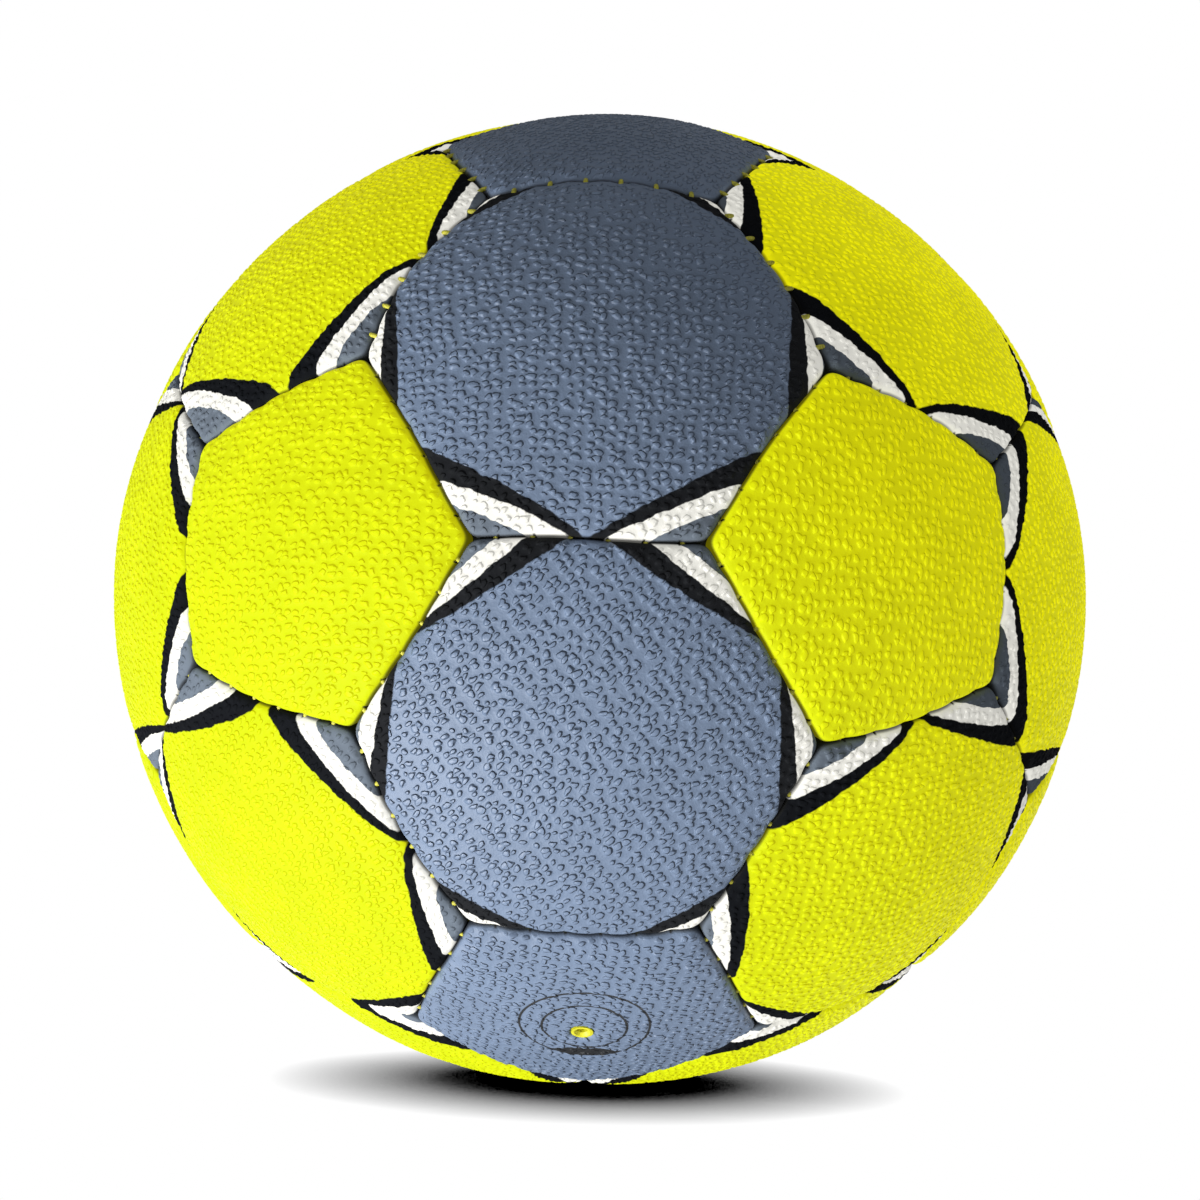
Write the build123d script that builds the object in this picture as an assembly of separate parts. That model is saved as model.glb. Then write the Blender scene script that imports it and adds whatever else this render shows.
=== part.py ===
"""Handball: 32 sewn panels over foam, lining and bladder, with a rubber valve."""

import os
from math import atan, atan2, cos, degrees, floor, pi, radians, sin, sqrt, tan

from build123d import *

# Driving dimensions in millimetres
circumference = 590.0  # girth of a size 3 ball
cover_thickness = 1.4  # embossed synthetic leather
foam_thickness = 2.0
lining_thickness = 1.4
crown_radius = 88.0  # each panel domes a little more than the ball does
edge_roll = 2.4  # round of the panel's edge where it turns into the seam
corner_round = 3.0  # round of the panel's corners
seam_gap = 0.3  # between the turned-in edges of two panels
bond_gap = 0.1  # glue line between two layers
stitch_pitch = 5.8
stitch_land = 0.1  # wall left between the edge roll and the stitch holes
thread_diameter = 0.8
thread_clearance = 0.1
stitch_squeeze = 0.92  # the thread is drawn thinner where it goes through a hole
bladder_thickness = 0.9
bladder_clearance = 0.2
valve_hole_radius = 2.0  # hole in the valve panel
boss_radius = 5.0
boss_tail = 11.0  # length of the boss inside the bladder
flange_radius = 13.0
flange_thickness = 1.3
plug_head_radius = 3.8
plug_head_height = 1.6
plug_nose_gap = 0.1  # round the nose, in the hole of the valve panel
plug_nose_recess = 0.3  # below the panel's surface
plug_stem_radius = 2.7
plug_fit = 0.05
plug_tip_length = 4.5
plug_lip_width = 3.6
plug_lip_thickness = 1.3
needle_radius = 0.95  # channel for the inflating needle, which stretches it
funnel_radius = 1.4
funnel_depth = 0.5
slit_width = 1.7
slit_gap = 0.15

# Radii of the layers, from the outside in
ball_radius = circumference / (2 * pi)
foam_inner_radius = ball_radius - cover_thickness - foam_thickness
lining_inner_radius = foam_inner_radius - lining_thickness
bladder_radius = lining_inner_radius - bladder_clearance
bladder_inner_radius = bladder_radius - bladder_thickness

# Directions of the panels of a truncated icosahedron
golden = (1 + sqrt(5)) / 2
signs = (1, -1)
pent_axes = []
hex_axes = [Vector(x, y, z).normalized() for x in signs for y in signs for z in signs]
for first in signs:
    for second in signs:
        pent_axes.append(Vector(0, first, second * golden).normalized())
        pent_axes.append(Vector(first, second * golden, 0).normalized())
        pent_axes.append(Vector(second * golden, 0, first).normalized())
        hex_axes.append(Vector(0, first * golden, second / golden).normalized())
        hex_axes.append(Vector(first * golden, second / golden, 0).normalized())
        hex_axes.append(Vector(first / golden, 0, second * golden).normalized())
valve_axis = Vector(0, -1, -golden).normalized()


def from_the_top(axis):
    """Order of the panels: from the top down, then round the ball from the front."""
    return (-round(axis.Z, 3), round(degrees(atan2(axis.X, -axis.Y)) % 360, 1))


pent_axes.sort(key=from_the_top)
hex_axes.sort(key=from_the_top)

# A body's base, or its top, set at the working plane
upward = (Align.CENTER, Align.CENTER, Align.MIN)
downward = (Align.CENTER, Align.CENTER, Align.MAX)

# Angle from a panel's axis to the middle of its edges, and half the arc of a seam
hex_reach = degrees(atan(1 / golden**2))
pent_to_hex = min(pent_axes[0].get_angle(axis) for axis in hex_axes)
pent_reach = pent_to_hex - hex_reach
corner_reach = atan(tan(radians(hex_reach)) / cos(radians(30)))
seam_half_arc = degrees(atan(sin(radians(hex_reach)) * tan(radians(30))))

# Stitch line: the holes start just below the edge roll, which is lowest at a hexagon's corners
thread_radius = thread_diameter / 2
hole_radius = thread_radius + thread_clearance
thread_room = thread_diameter + 2 * thread_clearance
dome_offset = ball_radius - crown_radius
rim_radius = dome_offset * cos(corner_reach) + sqrt(crown_radius**2 - (dome_offset * sin(corner_reach)) ** 2)
stitch_radius = rim_radius - edge_roll - stitch_land - hole_radius
stitch_step = degrees(stitch_pitch / stitch_radius)
stitch_count = floor(2 * (seam_half_arc - stitch_step / 2) / stitch_step) + 1
stitch_angles = [(i - (stitch_count - 1) / 2) * stitch_step for i in range(stitch_count)]


def wedge(sides, reach, inset, corner):
    """The room of one panel between its seam planes, drawn in from them by inset."""
    body = Pos(0, 0, ball_radius / 2) * Box(2 * ball_radius, 2 * ball_radius, ball_radius, align=upward)
    for side in range(sides):
        edge = Rot(0, 0, 360 / sides * side) * Rot(0, reach, 0) * Pos(-inset, 0, 0)
        body = split(body, bisect_by=Plane(edge * Rot(0, -90, 0)), keep=Keep.TOP)
    ridges = [edge for edge in body.edges() if abs(edge.tangent_at(0.5).Z) > 0.5]
    return fillet(ridges, corner)


def dome(depth):
    """The ball of a panel's domed face, taken in by depth."""
    return Pos(0, 0, dome_offset) * Sphere(crown_radius - depth)


def rolled(body, radius):
    """Rounds the rim between the dome and the seam walls."""
    top = body.faces().filter_by(GeomType.SPHERE).sort_by(Axis.Z)[-1]
    return fillet(top.outer_wire().edges(), radius)


def wall_holes(sides, reach):
    """Punched stitch holes through the walls of a panel."""
    drill = Rot(90, 0, 0) * Cylinder(hole_radius, 4 * (cover_thickness + seam_gap))
    holes = []
    for side in range(sides):
        across = Rot(0, 0, 360 / sides * side) * Rot(0, reach, 0) * Rot(0, 0, 90)
        for angle in stitch_angles:
            holes.append(across * Rot(0, angle, 0) * Pos(0, 0, stitch_radius) * drill)
    return holes


def cover(sides, reach):
    """A panel: a domed skin with turned-in walls and punched stitch holes."""
    outside = dome(0) & wedge(sides, reach, seam_gap / 2, corner_round)
    outside = rolled(outside - Sphere(lining_inner_radius), edge_roll)
    wall = seam_gap / 2 + cover_thickness
    pocket = dome(cover_thickness) & wedge(sides, reach, wall, corner_round - cover_thickness)
    pocket = rolled(pocket, edge_roll - cover_thickness)
    return outside - pocket - wall_holes(sides, reach)


def foam(sides, reach):
    """The pad behind a panel, thickest in the middle."""
    edge = seam_gap / 2 + cover_thickness + thread_room
    body = dome(cover_thickness + bond_gap) & wedge(sides, reach, edge, corner_round - cover_thickness)
    return body - Sphere(foam_inner_radius)


def lining(sides, reach):
    """The cloth behind a foam pad."""
    edge = seam_gap / 2 + cover_thickness + thread_room
    body = Sphere(foam_inner_radius - bond_gap) & wedge(sides, reach, edge, corner_round - cover_thickness)
    return body - Sphere(lining_inner_radius)


def seam_thread():
    """Saddle stitch of one seam: two runs pulled straight from hole to hole, and the stitches between."""
    side = seam_gap / 2 + cover_thickness + thread_room / 2
    reach = stitch_angles[-1] + degrees(2 * thread_radius / stitch_radius)
    bends = [Vector(0, 0, stitch_radius).rotate(Axis.Y, angle) for angle in (-reach, *stitch_angles, reach)]
    path = Polyline(*bends)
    ring = Plane(path @ 0, z_dir=path % 0) * Circle(thread_radius)
    run = sweep(ring, path=path, transition=Transition.RIGHT)
    stitch = Rot(90, 0, 0) * Cylinder(thread_radius * stitch_squeeze, 2 * side)
    runs = [Pos(0, side, 0) * run, Pos(0, -side, 0) * run]
    stitches = [Rot(0, angle, 0) * Pos(0, 0, stitch_radius) * stitch for angle in stitch_angles]
    return runs[0] + runs[1:] + stitches


def facing(axis, toward):
    """Place with z along a panel's axis and x towards its neighbour."""
    return Plane((0, 0, 0), x_dir=toward - axis * toward.dot(axis), z_dir=axis).location


def nearest(axis, others):
    """The neighbour whose axis is closest."""
    return min(others, key=lambda other: round(axis.get_angle(other), 3))


def neighbours(axis, others, angle):
    """All the panels whose axis lies at the given angle."""
    return [other for other in others if abs(axis.get_angle(other) - angle) < 1]


# Panels, pads and linings, made once and set round the ball
hex_places = [facing(axis, nearest(axis, pent_axes)) for axis in hex_axes]
pent_places = [facing(axis, nearest(axis, hex_axes)) for axis in pent_axes]
valve_place = pent_places[pent_axes.index(valve_axis)]
plain_pent_places = [place for place in pent_places if place is not valve_place]
hex_cover = cover(6, hex_reach)
pent_cover = cover(5, pent_reach)
hex_foam = foam(6, hex_reach)
pent_foam = foam(5, pent_reach)
hex_lining = lining(6, hex_reach)
pent_lining = lining(5, pent_reach)

# Valve: boss on the bladder, plug pressed into it, holes through the layers above
boss_top = ball_radius - cover_thickness - bond_gap
boss_bottom = bladder_inner_radius - boss_tail
boss_height = boss_top - boss_bottom
boss_column = Pos(0, 0, boss_bottom) * Cylinder(boss_radius, boss_height, align=upward)
flange_room = Cylinder(flange_radius, ball_radius, align=upward)
flange_outer = bladder_inner_radius - bond_gap
flange = (Sphere(flange_outer) - Sphere(flange_outer - flange_thickness)) & flange_room
stem_bore = Pos(0, 0, boss_bottom) * Cylinder(plug_stem_radius + plug_fit, boss_height, align=upward)
head_bore = Cylinder(plug_head_radius + plug_fit, plug_head_height + plug_fit, align=downward)
boss = boss_column + flange - stem_bore - Pos(0, 0, boss_top) * head_bore

head = Pos(0, 0, boss_top) * Cylinder(plug_head_radius, plug_head_height, align=downward)
nose_top = ball_radius - plug_nose_recess
nose = Pos(0, 0, nose_top) * Cylinder(valve_hole_radius - plug_nose_gap, cover_thickness, align=downward)
stem = Pos(0, 0, boss_bottom) * Cylinder(plug_stem_radius, boss_height, align=upward)
tip_top = Pos(0, 0, boss_bottom) * Circle(plug_stem_radius)
tip_lip = Pos(0, 0, boss_bottom - plug_tip_length) * SlotOverall(plug_lip_width, plug_lip_thickness)
tip = loft([tip_lip, tip_top])
channel = Pos(0, 0, boss_bottom) * Cylinder(needle_radius, nose_top - boss_bottom, align=upward)
funnel = Pos(0, 0, nose_top) * Cone(needle_radius, funnel_radius, funnel_depth, align=downward)
slit = Pos(0, 0, boss_bottom) * Box(slit_width, slit_gap, 2 * plug_tip_length, align=downward)
plug = head + nose + stem + tip - channel - funnel - slit

through_cover = Cylinder(valve_hole_radius, 2 * ball_radius, align=upward)
through_layers = Cylinder(boss_radius + bond_gap, 2 * ball_radius, align=upward)
valve_cover = pent_cover - through_cover
valve_foam = pent_foam - through_layers
valve_lining = pent_lining - through_layers
bladder = Sphere(bladder_radius) - Sphere(bladder_inner_radius)
bladder -= valve_place * through_layers

# Seams: one run of thread between each pair of neighbouring panels
thread = seam_thread()
hex_to_hex = 2 * hex_reach
hex_seams = []
for axis in hex_axes:
    for other in neighbours(axis, hex_axes, hex_to_hex):
        if hex_axes.index(other) > hex_axes.index(axis):
            hex_seams.append((axis + other, axis.cross(other)))
top_and_bottom_pents = [axis for axis in pent_axes if abs(axis.X) < abs(axis.Y) < abs(axis.Z)]
front_and_back_pents = [axis for axis in pent_axes if abs(axis.Z) < abs(axis.X) < abs(axis.Y)]
side_pents = [axis for axis in pent_axes if abs(axis.Y) < abs(axis.Z) < abs(axis.X)]


def seams_round(pents):
    """The seams round some of the pentagons: their middles and the ways along them."""
    share = sin(radians(pent_reach)) / sin(radians(hex_reach))
    seams = []
    for pent in pents:
        for axis in neighbours(pent, hex_axes, pent_to_hex):
            seams.append((axis * share + pent, axis.cross(pent)))
    return seams


def group(body, places):
    """Copies of one piece set at several places."""
    return Compound(children=[place * body for place in places])


def sewn(seams):
    """The thread set along a list of seams."""
    places = [Plane((0, 0, 0), x_dir=along, z_dir=middle).location for middle, along in seams]
    return group(thread, places)


os.makedirs("parts", exist_ok=True)
for number, place in enumerate(hex_places, 1):
    export_step(place * hex_cover, f"parts/hex_panel_{number:02d}.step")
for number, place in enumerate(plain_pent_places, 1):
    export_step(place * pent_cover, f"parts/pent_panel_{number:02d}.step")
export_step(valve_place * valve_cover, "parts/valve_panel.step")
export_step(group(hex_foam, hex_places), "parts/hex_foam_pads.step")
export_step(group(pent_foam, plain_pent_places), "parts/pent_foam_pads.step")
export_step(valve_place * valve_foam, "parts/valve_foam_pad.step")
export_step(group(hex_lining, hex_places), "parts/hex_linings.step")
export_step(group(pent_lining, plain_pent_places), "parts/pent_linings.step")
export_step(valve_place * valve_lining, "parts/valve_lining.step")
export_step(sewn(hex_seams), "parts/hex_seam_threads.step")
export_step(sewn(seams_round(top_and_bottom_pents)), "parts/top_bottom_pent_threads.step")
export_step(sewn(seams_round(front_and_back_pents)), "parts/front_back_pent_threads.step")
export_step(sewn(seams_round(side_pents)), "parts/side_pent_threads.step")
export_step(bladder, "parts/bladder.step")
export_step(valve_place * boss, "parts/valve_boss.step")
export_step(valve_place * plug, "parts/valve_plug.step")
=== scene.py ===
import math

import bpy
import numpy as np
from mathutils import Matrix, Vector


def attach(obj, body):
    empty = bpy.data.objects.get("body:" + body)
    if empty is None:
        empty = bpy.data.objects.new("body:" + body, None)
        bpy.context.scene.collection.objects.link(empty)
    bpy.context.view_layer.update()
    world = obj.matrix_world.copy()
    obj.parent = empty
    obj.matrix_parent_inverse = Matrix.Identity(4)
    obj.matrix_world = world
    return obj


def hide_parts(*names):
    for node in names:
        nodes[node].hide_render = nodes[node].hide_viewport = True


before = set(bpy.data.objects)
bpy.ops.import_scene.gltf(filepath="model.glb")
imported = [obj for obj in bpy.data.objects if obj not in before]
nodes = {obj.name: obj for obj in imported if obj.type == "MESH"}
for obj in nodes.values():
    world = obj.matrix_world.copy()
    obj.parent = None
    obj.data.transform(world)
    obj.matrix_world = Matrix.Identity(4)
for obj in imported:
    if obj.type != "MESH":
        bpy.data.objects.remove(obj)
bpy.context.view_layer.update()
mm = 0.001
tiny = 1e-6
print("frame loaded:", len(nodes), "nodes")

# the ball, in metres: girth and domes as in the solids, seams a little tighter
ball = {
    "radius": 0.590 / (2 * math.pi),
    "crown": 88 * mm,  # each panel domes a little more than the ball
    "seamGap": 0.2 * mm,
    "cover": 1.4 * mm,
    "roll": 1.0 * mm,  # round of a panel's edge
    "rimDepth": 4.8 * mm,  # how far the turned-in edge goes down
    "stitchPitch": 5.8 * mm,
    "stitchDepth": 3.54 * mm,
}
golden = (1 + math.sqrt(5)) / 2
radius = ball["radius"]
domeOffset = radius - ball["crown"]


def deselectAll():
    if bpy.context.mode != "OBJECT":
        bpy.ops.object.mode_set(mode="OBJECT")
    bpy.ops.object.select_all(action="DESELECT")


def makeActive(obj):
    deselectAll()
    obj.select_set(True)
    bpy.context.view_layer.objects.active = obj


def copyOf(obj, name):
    twin = obj.copy()
    twin.data = obj.data.copy()
    twin.name = name
    twin.data.name = name
    bpy.context.collection.objects.link(twin)
    return twin


def applyPlace(obj, matrix):
    makeActive(obj)
    obj.matrix_world = matrix
    bpy.ops.object.transform_apply(location=True, rotation=True, scale=True)


def coordsOf(mesh):
    flat = np.empty(len(mesh.vertices) * 3)
    mesh.vertices.foreach_get("co", flat)
    return flat.reshape(-1, 3)


def setCoords(mesh, coords):
    mesh.vertices.foreach_set("co", coords.ravel())
    mesh.update()


def keepOnPoints(mesh, name, kind, values):
    field = mesh.attributes.get(name) or mesh.attributes.new(name, kind, "POINT")
    part = "vector" if kind == "FLOAT_VECTOR" else "value"
    field.data.foreach_set(part, np.ascontiguousarray(values).ravel())


def readPoints(mesh, name):
    flat = np.empty(len(mesh.vertices) * 3)
    mesh.attributes[name].data.foreach_get("vector", flat)
    return flat.reshape(-1, 3)


def smooth(low, high, values):
    share = np.clip((values - low) / (high - low), 0, 1)
    return share * share * (3 - 2 * share)


# where the panels are: the faces of a truncated icosahedron, counted from the top down
def panelAxes():
    signs = (1, -1)
    pents = []
    hexes = [Vector((x, y, z)) for x in signs for y in signs for z in signs]
    for a in signs:
        for b in signs:
            long, short = b * golden, b / golden
            pents += [Vector((0, a, long)), Vector((a, long, 0)), Vector((long, 0, a))]
            hexes += [Vector((0, a * golden, short)), Vector((a * golden, short, 0))]
            hexes.append(Vector((a / golden, 0, long)))

    def downAndRound(v):
        return -round(v.z, 3), round(math.degrees(math.atan2(v.x, -v.y)) % 360, 1)

    return [sorted((v.normalized() for v in group), key=downAndRound) for group in (pents, hexes)]


pentAxes, hexAxes = panelAxes()
valveAxis = Vector((0, -1, -golden)).normalized()
hexReach = math.atan(1 / golden**2)  # from a panel's axis to the middle of its edge
pentReach = min(pentAxes[0].angle(h) for h in hexAxes) - hexReach


def turnedTo(x, y, z):
    return Matrix((x, y, z)).transposed().to_4x4()


def facing(axis, toward):
    x = (toward - axis * toward.dot(axis)).normalized()
    return turnedTo(x, axis.cross(x), axis)


def nearest(axis, others):
    return min(others, key=lambda other: round(axis.angle(other), 4))


def neighbours(axis, others, angle):
    return [other for other in others if abs(axis.angle(other) - angle) < 0.02]


def isValve(axis):
    return (axis - valveAxis).length < 1e-4


def pieceName(node):
    return node.title().replace("_", "")


def setFinish(obj, material):
    obj.data.materials.clear()
    obj.data.materials.append(material)


panelShape = {
    "hexRings": 96,
    "pentRings": 78,
    "backRings": 14,
    "valveBackRings": 44,  # finer, to have a round hole
    "hexSharp": 60.0,  # higher gives sharper corners
    "pentSharp": 40.0,
    "roundWithin": 0.55,  # share of the way out where the rings turn from circles to the outline
    "backRoll": 0.3 * mm,
    "puckers": {"depth": 0.45 * mm, "reach": 1.4 * mm, "shoulder": 0.35 * mm, "width": 5 * mm},
}
valveHole = {
    "radius": 2.0 * mm,
    "lip": 0.45 * mm,
    "clear": 1.03,  # the first ring that stays is this much wider than the hole
    "inside": 0.98,  # shares of that ring: what lies inside it goes
    "onRing": 1.05,  # and what lies within this belongs to it
}


# one panel, modelled facing up: a fan of rings for the skin and another for the back
def fan(name, sides, rings):
    deselectAll()
    bpy.ops.mesh.primitive_circle_add(
        vertices=sides,
        radius=1 / math.cos(math.pi / sides),
        fill_type="TRIFAN",
        rotation=(0, 0, math.pi / sides - math.pi / 2),
    )
    obj = bpy.context.object
    obj.name = name
    bpy.ops.object.transform_apply(location=False, rotation=True, scale=False)
    bpy.ops.object.mode_set(mode="EDIT")
    bpy.ops.mesh.select_all(action="SELECT")
    bpy.ops.mesh.subdivide(number_cuts=rings - 1)
    bpy.ops.object.mode_set(mode="OBJECT")
    return obj


def inPlane(points):
    return np.concatenate([points, np.zeros((len(points), 1))], 1)


def shapeSkin(obj, sides, reach, inset, roll, depth, sharp, puckers):
    mesh = obj.data
    flat = coordsOf(mesh)[:, :2]
    turns = np.arange(sides) * 2 * math.pi / sides
    normals = np.stack([np.cos(turns), np.sin(turns)], 1)
    ring = np.clip((flat @ normals.T).max(1), 0, 1)  # 0 in the middle, 1 at the rim
    way = flat / np.maximum(np.linalg.norm(flat, axis=1, keepdims=True), tiny)
    away = np.maximum(way @ normals.T, 0)
    polygon = (away**sharp).sum(1) ** (1 / sharp)  # with rounded corners
    wide = radius * reach - ball["seamGap"] / 2 - inset  # middle to the wall, along the skin
    wall = ball["rimDepth"] - depth - roll
    skin = ring * (wide - roll + math.pi / 2 * roll + wall)
    bend = np.clip((skin - (wide - roll)) / roll, 0, math.pi / 2)
    toWall = np.where(skin < wide - roll, wide - skin, roll * (1 - np.sin(bend)))
    drop = roll * (1 - np.cos(bend)) + np.maximum(skin - (wide - roll) - math.pi / 2 * roll, 0)
    share = (wide - toWall) / wide
    soft = smooth(0.0, panelShape["roundWithin"], share)
    outline = (1 - soft) + soft * polygon
    tilt = np.tan((wide - toWall) / radius) / np.maximum(outline, tiny)
    rays = np.concatenate([way * tilt[:, None], np.ones((len(flat), 1))], 1)
    rays[ring < tiny] = (0, 0, 1)
    rays /= np.linalg.norm(rays, axis=1, keepdims=True)
    lean = np.arccos(np.clip(rays[:, 2], -1, 1))
    dome = domeOffset * np.cos(lean) + np.sqrt(ball["crown"] ** 2 - (domeOffset * np.sin(lean)) ** 2)
    if puckers:  # the skin dips a little at each stitch
        side = (flat @ normals.T).argmax(1)
        ahead = np.stack([-np.sin(turns), np.cos(turns)], 1)[side]
        along = (rays[:, :2] * ahead).sum(1) * radius
        dip = (0.5 - 0.5 * np.cos(2 * math.pi * along / ball["stitchPitch"])) ** 2
        drop += puckers["depth"] * dip * np.exp(-toWall / puckers["reach"]) * (wall > 0)
        drop += puckers["shoulder"] * np.clip(1 - toWall / puckers["width"], 0, 1) ** 2
        step = np.abs(along / ball["stitchPitch"] % 1 - 0.5) * ball["stitchPitch"]
        keepOnPoints(mesh, "stitchMm", "FLOAT", np.hypot(step, toWall) * 1000)
    bottom = radius - ball["rimDepth"]
    height = np.where(ring > 1 - tiny, bottom, np.maximum(dome - depth - drop, bottom))
    setCoords(mesh, rays * height[:, None])
    keepOnPoints(mesh, "flatMm", "FLOAT_VECTOR", inPlane(way * (skin / outline)[:, None] * 1000))
    place = rays[:, :2] / np.maximum(rays[:, 2:], tiny) / math.tan(reach) * math.cos(math.pi / sides)
    keepOnPoints(mesh, "printPlace", "FLOAT_VECTOR", inPlane(place))
    keepOnPoints(mesh, "rimMm", "FLOAT", toWall * 1000)


def selectRim():
    bpy.ops.object.mode_set(mode="EDIT")
    bpy.ops.mesh.select_mode(type="EDGE")
    bpy.ops.mesh.select_all(action="DESELECT")
    bpy.ops.mesh.select_non_manifold(
        extend=False,
        use_wire=False,
        use_boundary=True,
        use_multi_face=False,
        use_non_contiguous=False,
        use_verts=False,
    )


def keepNear(obj, reach):  # of the picked edges, only those near the axis
    bpy.ops.object.mode_set(mode="OBJECT")
    mesh = obj.data
    ends = np.empty(len(mesh.edges) * 2, dtype=np.int32)
    mesh.edges.foreach_get("vertices", ends)
    ends = ends.reshape(-1, 2)
    picked = np.empty(len(mesh.edges), dtype=bool)
    mesh.edges.foreach_get("select", picked)
    picked &= np.linalg.norm(coordsOf(mesh)[ends[:, 0], :2], axis=1) < reach
    points = np.zeros(len(mesh.vertices), dtype=bool)
    points[ends[picked]] = True
    mesh.edges.foreach_set("select", picked)
    mesh.vertices.foreach_set("select", points)
    bpy.ops.object.mode_set(mode="EDIT")


def modelPanel(name, sides, reach, rings, sharp, holeRadius=0):
    skin = fan(name, sides, rings)
    shapeSkin(skin, sides, reach, 0, ball["roll"], 0, sharp, panelShape["puckers"])
    back = fan(name + "Back", sides, panelShape["valveBackRings" if holeRadius else "backRings"])
    shapeSkin(back, sides, reach, ball["cover"], panelShape["backRoll"], ball["cover"], sharp, None)
    if holeRadius:
        cutHole(skin, holeRadius, valveHole["lip"])
        cutHole(back, holeRadius, 0)
    keepOnPoints(back.data, "rimMm", "FLOAT", np.zeros(len(back.data.vertices)))
    makeActive(back)
    bpy.ops.object.mode_set(mode="EDIT")
    bpy.ops.mesh.select_all(action="SELECT")
    bpy.ops.mesh.flip_normals()
    bpy.ops.object.mode_set(mode="OBJECT")
    makeActive(skin)
    back.select_set(True)
    bpy.ops.object.join()
    if holeRadius:  # the hole first, then the rim
        selectRim()
        keepNear(skin, 2 * holeRadius)
        bpy.ops.mesh.bridge_edge_loops()
        bpy.ops.object.mode_set(mode="OBJECT")
    selectRim()
    bpy.ops.mesh.bridge_edge_loops()
    bpy.ops.mesh.select_all(action="SELECT")
    bpy.ops.mesh.normals_make_consistent(inside=False)
    bpy.ops.object.mode_set(mode="OBJECT")
    bpy.ops.object.shade_smooth()
    return skin


def cutHole(obj, holeRadius, lip):
    makeActive(obj)
    bpy.ops.object.mode_set(mode="EDIT")
    bpy.ops.mesh.select_mode(type="VERT")
    bpy.ops.mesh.select_all(action="DESELECT")
    bpy.ops.object.mode_set(mode="OBJECT")
    coords = coordsOf(obj.data)
    out = np.linalg.norm(coords[:, :2], axis=1)
    rim = out[out > valveHole["clear"] * holeRadius].min()
    for vertex, far in zip(obj.data.vertices, out):
        vertex.select = bool(far < valveHole["inside"] * rim)
    bpy.ops.object.mode_set(mode="EDIT")
    bpy.ops.mesh.delete(type="VERT")
    bpy.ops.object.mode_set(mode="OBJECT")
    coords = coordsOf(obj.data)
    out = np.linalg.norm(coords[:, :2], axis=1)
    first = out < valveHole["onRing"] * rim
    coords[first, :2] *= (holeRadius / out[first])[:, None]
    if lip:
        turned = np.clip((holeRadius + lip - np.linalg.norm(coords[:, :2], axis=1)) / lip, 0, 1)
        coords[:, 2] -= lip * (1 - np.sqrt(1 - turned**2))
    setCoords(obj.data, coords)


# the unevenness of a ball sewn by hand: seams wander a little, and full panels push theirs out
handSewn = {
    "sway": 0.25 * mm,
    "swell": 0.25 * mm,
    "wave": 34 * mm,
    "swayWaves": (  # for x, y and z: along which axis, how quick and from where
        ((1, 1.0, 1.3), (2, 0.6, 4.0)),
        ((2, 1.0, 0.4), (0, 0.7, 2.2)),
        ((0, 1.0, 2.9), (1, 0.65, 5.1)),
    ),
    "swellWaves": ((0, 0.55, 0.8), (1, 0.5, 2.0), (2, 0.6, 1.1)),
    "pentBulge": {"amount": 0.8 * mm, "long": 13 * mm, "wide": 9 * mm},
    "pushWide": 18 * mm,
    "pushNear": 0.85,  # cosine of the angle where a push ends
}
fullPanels = {  # a panel's axis, then for each seam: the neighbour's axis, mm pushed out, mm along the seam
    "upper": {
        "axis": (0, -golden, 1 / golden),
        "seams": [((0, -1, golden), 4.9, 20), ((-1, -1, 1), 3.7, 17), ((1, -1, 1), 1.5, 17)],
    },
    "lower": {
        "axis": (0, -golden, -1 / golden),
        "seams": [((0, -1, -golden), 1.0, 17), ((-1, -1, -1), 1.2, 17), ((1, -1, -1), 0.3, 17)],
    },
}


def seamPushes():
    pushes = []
    for full in fullPanels.values():
        for toward, amount, long in full["seams"]:
            for side in (1, -1):  # the back is as the front
                mirror = Vector((1, side, 1))
                a = (Vector(full["axis"]) * mirror).normalized()
                b = (Vector(toward) * mirror).normalized()
                pushes.append((a, b, hexReach, amount * mm, long * mm, handSewn["pushWide"]))
    bulge = handSewn["pentBulge"]
    for pent in pentAxes:  # pentagons bulge a little along all their edges
        for other in neighbours(pent, hexAxes, pentReach + hexReach):
            pushes.append((pent, other, pentReach, bulge["amount"], bulge["long"], bulge["wide"]))
    return pushes


def waves(ray, rows):
    k = 2 * math.pi * radius / handSewn["wave"]
    return [np.sin(quick * k * ray[:, axis] + start) for axis, quick, start in rows]


def settle(mesh):
    coords = coordsOf(mesh)
    far = np.linalg.norm(coords, axis=1, keepdims=True)
    ray = coords / far
    sway = np.stack([sum(waves(ray, rows)) for rows in handSewn["swayWaves"]], 1) * handSewn["sway"]
    for panel, other, reach, amount, long, wide in allPushes:
        toward = (other - panel * other.dot(panel)).normalized()
        middle = np.array(panel * math.cos(reach) + toward * math.sin(reach))
        out = np.array(toward * math.cos(reach) - panel * math.sin(reach))
        near = ray @ middle > handSewn["pushNear"]
        spot = ray[near]
        along = spot @ np.cross(middle, out) * radius
        across = spot @ out * radius
        sway[near] += (amount * np.exp(-((along / long) ** 2) - (across / wide) ** 2))[:, None] * out
    sway -= ray * (sway * ray).sum(1, keepdims=True)
    swell = np.prod(waves(ray, handSewn["swellWaves"]), axis=0) - 1
    ray = ray + sway / radius
    ray /= np.linalg.norm(ray, axis=1, keepdims=True)
    setCoords(mesh, ray * (far + swell[:, None] * handSewn["swell"]))


allPushes = seamPushes()


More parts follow.
